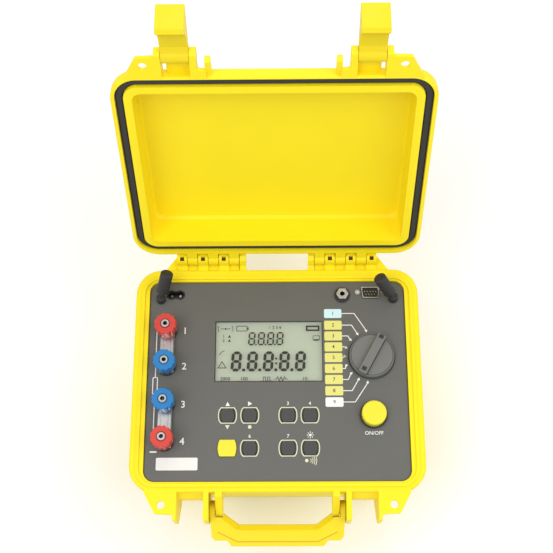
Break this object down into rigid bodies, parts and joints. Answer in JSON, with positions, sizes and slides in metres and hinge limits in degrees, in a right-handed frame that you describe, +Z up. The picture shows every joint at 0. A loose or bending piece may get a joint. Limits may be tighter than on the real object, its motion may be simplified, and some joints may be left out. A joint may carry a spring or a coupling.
{
  "type": "micro ohmmeter",
  "caption": "Yellow carrying case with the lid open on a grey instrument panel with display, keys, range selector and screw terminals.",
  "frame": {"origin": "centre of the flat underside of the base", "axes": "+Z up, +X to the right when the panel is read, +Y to the hinges, -Y to the handle"},
  "size_m": [0.27, 0.3745, 0.415],
  "materials": {
    "case_yellow": "moulded plastic with a fine grain",
    "cap_yellow": "smooth moulded plastic",
    "panel_grey": "satin printed panel",
    "knob_grey": "satin moulded plastic",
    "black_plastic": "satin black plastic",
    "key_dark": "satin dark plastic",
    "black_rubber": "matte black rubber",
    "display_glass": "clear window",
    "display_body": "grey-green reflective display",
    "board_green": "solder-masked board",
    "steel": "plated steel",
    "sheet_aluminium": "plain sheet",
    "battery_wrap": "heat-shrink wrap",
    "copper_winding": "lacquered winding",
    "brass": "bare brass",
    "white_label": "plain white label",
    "knob_red": "moulded red plastic",
    "knob_blue": "moulded blue plastic"
  },
  "bodies": {
    "base": {"base_shell": "case_yellow", "front_panel": "panel_grey", "panel_seal": "black_rubber", "display_window": "display_glass", "display_module": "display_body", "main_board": "board_green", "keypad_board": "board_green", "board_spacers": "steel", "chassis_pillars": "steel", "chassis_tray": "sheet_aluminium", "battery_pack": "battery_wrap", "battery_clamp": "steel", "mains_transformer": "copper_winding", "transformer_clamp": "steel", "power_board": "board_green", "heat_sink": "sheet_aluminium", "current_shunt": "brass", "selector_switch": "black_plastic", "start_switch": "black_plastic", "start_bezel": "black_plastic", "mains_inlet": "black_plastic", "inlet_pins": "steel", "probe_socket": "black_plastic", "probe_socket_nut": "steel", "serial_socket": "steel", "serial_pins": "brass", "serial_screwlocks": "steel", "label_plate": "white_label", "terminal_stems": "steel", "terminal_seats": "black_plastic", "terminal_nuts": "steel", "link_plates": "steel", "stay_feet": "black_plastic", "hinge_pins": "steel", "handle_pins": "steel"},
    "lid": {"lid_shell": "case_yellow", "lid_gasket": "black_rubber", "latch_pins": "steel"},
    "selector_knob_body": {"selector_knob": "knob_grey"},
    "start_button_body": {"start_button": "cap_yellow"},
    "knob_c1_body": {"knob_c1": "knob_red"},
    "knob_p1_body": {"knob_p1": "knob_blue"},
    "knob_p2_body": {"knob_p2": "knob_blue"},
    "knob_c2_body": {"knob_c2": "knob_red"},
    "key_1_body": {"key_1": "key_dark"},
    "key_2_body": {"key_2": "key_dark"},
    "key_3_body": {"key_3": "key_dark"},
    "key_4_body": {"key_4": "key_dark"},
    "key_5_body": {"key_5": "cap_yellow"},
    "key_6_body": {"key_6": "key_dark"},
    "key_7_body": {"key_7": "key_dark"},
    "key_8_body": {"key_8": "key_dark"},
    "stay_left_body": {"stay_left": "black_rubber"},
    "stay_right_body": {"stay_right": "black_rubber"},
    "carry_handle_body": {"carry_handle": "case_yellow"},
    "latch_left_body": {"latch_left": "case_yellow"},
    "latch_right_body": {"latch_right": "case_yellow"}
  },
  "joints": [
    {"name": "lid_hinge", "type": "hinge", "parent": "base", "child": "lid", "pos_m": [0, 0.1162, 0.14755], "axis": [1, 0, 0], "range_deg": [0, 111]},
    {"name": "latch_left_swing", "type": "hinge", "parent": "lid", "child": "latch_left_body", "pos_m": [-0.0784, 0.20363, 0.37128], "axis": [1, 0, 0], "range_deg": [0, 88]},
    {"name": "latch_right_swing", "type": "hinge", "parent": "lid", "child": "latch_right_body", "pos_m": [0.0784, 0.20363, 0.37128], "axis": [1, 0, 0], "range_deg": [0, 88]},
    {"name": "handle_swing", "type": "hinge", "parent": "base", "child": "carry_handle_body", "pos_m": [0, -0.117, 0.119], "axis": [1, 0, 0], "range_deg": [-10, 78]},
    {"name": "selector_turn", "type": "hinge", "parent": "base", "child": "selector_knob_body", "pos_m": [0.08879, 0.0198, 0.1405], "axis": [0, 0, 1], "range_deg": [-140, 20]},
    {"name": "start_press", "type": "slide", "parent": "base", "child": "start_button_body", "axis": [0, 0, -1], "range_m": [0, 0.003], "stiffness_N_per_m": 500, "springref_m": -0.001},
    {"name": "knob_c1_turn", "type": "hinge", "parent": "base", "child": "knob_c1_body", "pos_m": [-0.1036, 0.04541, 0.14655], "axis": [0, 0, 1], "range_deg": [0, 720]},
    {"name": "knob_p1_turn", "type": "hinge", "parent": "base", "child": "knob_p1_body", "pos_m": [-0.1036, 0.0107, 0.14655], "axis": [0, 0, 1], "range_deg": [0, 720]},
    {"name": "knob_p2_turn", "type": "hinge", "parent": "base", "child": "knob_p2_body", "pos_m": [-0.1036, -0.02571, 0.14655], "axis": [0, 0, 1], "range_deg": [0, 720]},
    {"name": "knob_c2_turn", "type": "hinge", "parent": "base", "child": "knob_c2_body", "pos_m": [-0.1036, -0.0602, 0.14655], "axis": [0, 0, 1], "range_deg": [0, 720]},
    {"name": "key_1_press", "type": "slide", "parent": "base", "child": "key_1_body", "axis": [0, 0, -1], "range_m": [0, 0.0012], "stiffness_N_per_m": 300, "springref_m": -0.0005},
    {"name": "key_2_press", "type": "slide", "parent": "base", "child": "key_2_body", "axis": [0, 0, -1], "range_m": [0, 0.0012], "stiffness_N_per_m": 300, "springref_m": -0.0005},
    {"name": "key_3_press", "type": "slide", "parent": "base", "child": "key_3_body", "axis": [0, 0, -1], "range_m": [0, 0.0012], "stiffness_N_per_m": 300, "springref_m": -0.0005},
    {"name": "key_4_press", "type": "slide", "parent": "base", "child": "key_4_body", "axis": [0, 0, -1], "range_m": [0, 0.0012], "stiffness_N_per_m": 300, "springref_m": -0.0005},
    {"name": "key_5_press", "type": "slide", "parent": "base", "child": "key_5_body", "axis": [0, 0, -1], "range_m": [0, 0.0012], "stiffness_N_per_m": 300, "springref_m": -0.0005},
    {"name": "key_6_press", "type": "slide", "parent": "base", "child": "key_6_body", "axis": [0, 0, -1], "range_m": [0, 0.0012], "stiffness_N_per_m": 300, "springref_m": -0.0005},
    {"name": "key_7_press", "type": "slide", "parent": "base", "child": "key_7_body", "axis": [0, 0, -1], "range_m": [0, 0.0012], "stiffness_N_per_m": 300, "springref_m": -0.0005},
    {"name": "key_8_press", "type": "slide", "parent": "base", "child": "key_8_body", "axis": [0, 0, -1], "range_m": [0, 0.0012], "stiffness_N_per_m": 300, "springref_m": -0.0005},
    {"name": "stay_left_swivel", "type": "hinge", "parent": "base", "child": "stay_left_body", "pos_m": [-0.111, 0.0765, 0.145], "axis": [0, 0, 1], "range_deg": [-64, 0]},
    {"name": "stay_right_swivel", "type": "hinge", "parent": "base", "child": "stay_right_body", "pos_m": [0.111, 0.0765, 0.145], "axis": [0, 0, 1], "range_deg": [0, 37]}
  ],
  "couplings": [
    {"joint": "stay_left_swivel", "follows": "lid_hinge", "ratio": -0.5765},
    {"joint": "stay_right_swivel", "follows": "lid_hinge", "ratio": 0.3333}
  ]
}
